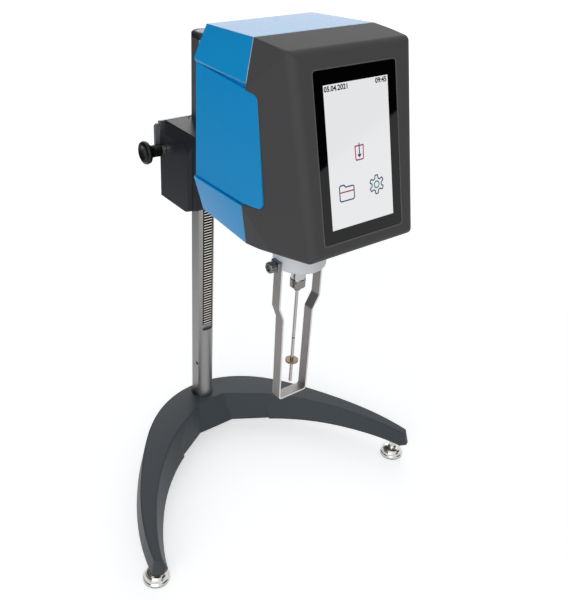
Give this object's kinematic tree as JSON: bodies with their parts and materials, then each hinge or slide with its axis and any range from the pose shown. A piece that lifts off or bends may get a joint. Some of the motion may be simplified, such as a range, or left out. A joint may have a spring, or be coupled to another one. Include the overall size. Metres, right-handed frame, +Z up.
{
  "type": "rotational viscometer",
  "caption": "Bench rotational viscometer: spindle head with a tilted display on a rack column, crescent base on levelling feet.",
  "frame": {"origin": "on the bench under the middle of the overall bounding box", "axes": "+Z up the column, instrument face towards -Y, +X to the right of someone facing the back of the stand"},
  "size_m": [0.348, 0.2658, 0.5097],
  "materials": {
    "base_paint": "satin",
    "block_paint": "satin",
    "column_steel": "brushed",
    "rack_steel": "milled",
    "guard_steel": "brushed",
    "chrome": "polished",
    "fastener_steel": "satin",
    "ring_alloy": "satin",
    "plate_steel": "satin",
    "brass": "turned",
    "sole_rubber": "matte",
    "knob_plastic": "glossy",
    "cap_plastic": "matte",
    "cap_grey": "matte",
    "housing_blue": "satin",
    "shell_dark": "fine texture",
    "display_black": "glossy",
    "lcd_white": "lit",
    "board_green": "satin",
    "chassis_alloy": "satin",
    "motor_black": "satin",
    "socket_black": "matte",
    "bush_nylon": "satin",
    "spring_copper": "satin"
  },
  "bodies": {
    "stand": {"base_casting": "base_paint", "column": "column_steel", "rack_strip": "rack_steel", "column_cap": "cap_plastic", "cap_disc": "cap_grey", "column_collar": "column_steel", "set_screws": "fastener_steel"},
    "left_foot": {"foot_left": "chrome", "sole_left": "sole_rubber"},
    "right_foot": {"foot_right": "chrome", "sole_right": "sole_rubber"},
    "rear_foot": {"foot_rear": "chrome", "sole_rear": "sole_rubber"},
    "carriage": {"clamp_block": "block_paint", "lower_bush": "bush_nylon", "upper_bush": "bush_nylon", "brake_pad": "brass", "rear_plate": "plate_steel", "plate_screws": "fastener_steel"},
    "lock_knob": {"clamp_knob": "knob_plastic", "clamp_stud": "chrome"},
    "height_drive": {"pinion_gear": "rack_steel", "pinion_shaft": "fastener_steel", "height_knob": "knob_plastic"},
    "head": {"mounting_rod": "guard_steel", "rod_flange": "guard_steel", "flange_screws": "fastener_steel", "rear_housing": "housing_blue", "housing_screws": "fastener_steel", "side_panel_left": "housing_blue", "side_panel_right": "housing_blue", "front_shell": "shell_dark", "display_glass": "display_black", "lcd_panel": "lcd_white", "display_board": "board_green", "chassis_plate": "chassis_alloy", "pillars": "fastener_steel", "motor_bridge": "chassis_alloy", "gearbox": "chassis_alloy", "stepper_motor": "motor_black", "power_board": "board_green", "power_inlet": "socket_black", "data_port": "socket_black", "switch_frame": "socket_black", "bearing_ring": "ring_alloy", "pivot_bearing": "brass", "encoder_sensor": "socket_black", "guard_leg": "guard_steel", "guard_clamp": "guard_steel"},
    "power_rocker": {"rocker": "knob_plastic"},
    "guard_thumbscrew": {"guard_screw": "fastener_steel"},
    "drive_rotor": {"drive_shaft": "fastener_steel", "drive_disc": "chassis_alloy", "torsion_spring": "spring_copper"},
    "spindle_rotor": {"pivot_shaft": "ring_alloy", "pivot_disc": "chassis_alloy", "coupling_nut": "chrome", "spindle": "chrome"}
  },
  "joints": [
    {"name": "left_foot_level", "type": "slide", "parent": "stand", "child": "left_foot", "axis": [0, 0, 1], "range_m": [-0.004, 0.002]},
    {"name": "right_foot_level", "type": "slide", "parent": "stand", "child": "right_foot", "axis": [0, 0, 1], "range_m": [-0.004, 0.002]},
    {"name": "rear_foot_level", "type": "slide", "parent": "stand", "child": "rear_foot", "axis": [0, 0, 1], "range_m": [-0.004, 0.002]},
    {"name": "head_height", "type": "slide", "parent": "stand", "child": "carriage", "axis": [0, 0, 1], "range_m": [-0.145, 0.07]},
    {"name": "height_knob_turn", "type": "hinge", "parent": "carriage", "child": "height_drive", "pos_m": [0, 0.08882, 0.334], "axis": [1, 0, 0], "range_deg": [-450, 930]},
    {"name": "lock_knob_turn", "type": "hinge", "parent": "carriage", "child": "lock_knob", "pos_m": [0, 0.11807, 0.3622], "axis": [1, 0, 0], "range_deg": [-10, 350]},
    {"name": "head_level", "type": "hinge", "parent": "carriage", "child": "head", "pos_m": [0, 0.04707, 0.369], "axis": [0, 1, 0], "range_deg": [-5, 5]},
    {"name": "power_rock", "type": "hinge", "parent": "head", "child": "power_rocker", "pos_m": [-0.032, 0.01837, 0.436], "axis": [0, 0, 1], "range_deg": [-8, 8]},
    {"name": "guard_screw_turn", "type": "hinge", "parent": "head", "child": "guard_thumbscrew", "pos_m": [0, -0.05343, 0.3092], "axis": [1, 0, 0], "range_deg": [-10, 350]},
    {"name": "motor_drive", "type": "hinge", "parent": "head", "child": "drive_rotor", "pos_m": [0, -0.05343, 0.39], "axis": [0, 0, 1], "continuous": true},
    {"name": "torque_windup", "type": "hinge", "parent": "drive_rotor", "child": "spindle_rotor", "pos_m": [0, -0.05343, 0.32], "axis": [0, 0, 1], "range_deg": [-85, 85], "stiffness_Nm_per_rad": 0.000045}
  ],
  "couplings": [
    {"joint": "height_knob_turn", "follows": "head_height", "rad_per_m": -111.11}
  ]
}
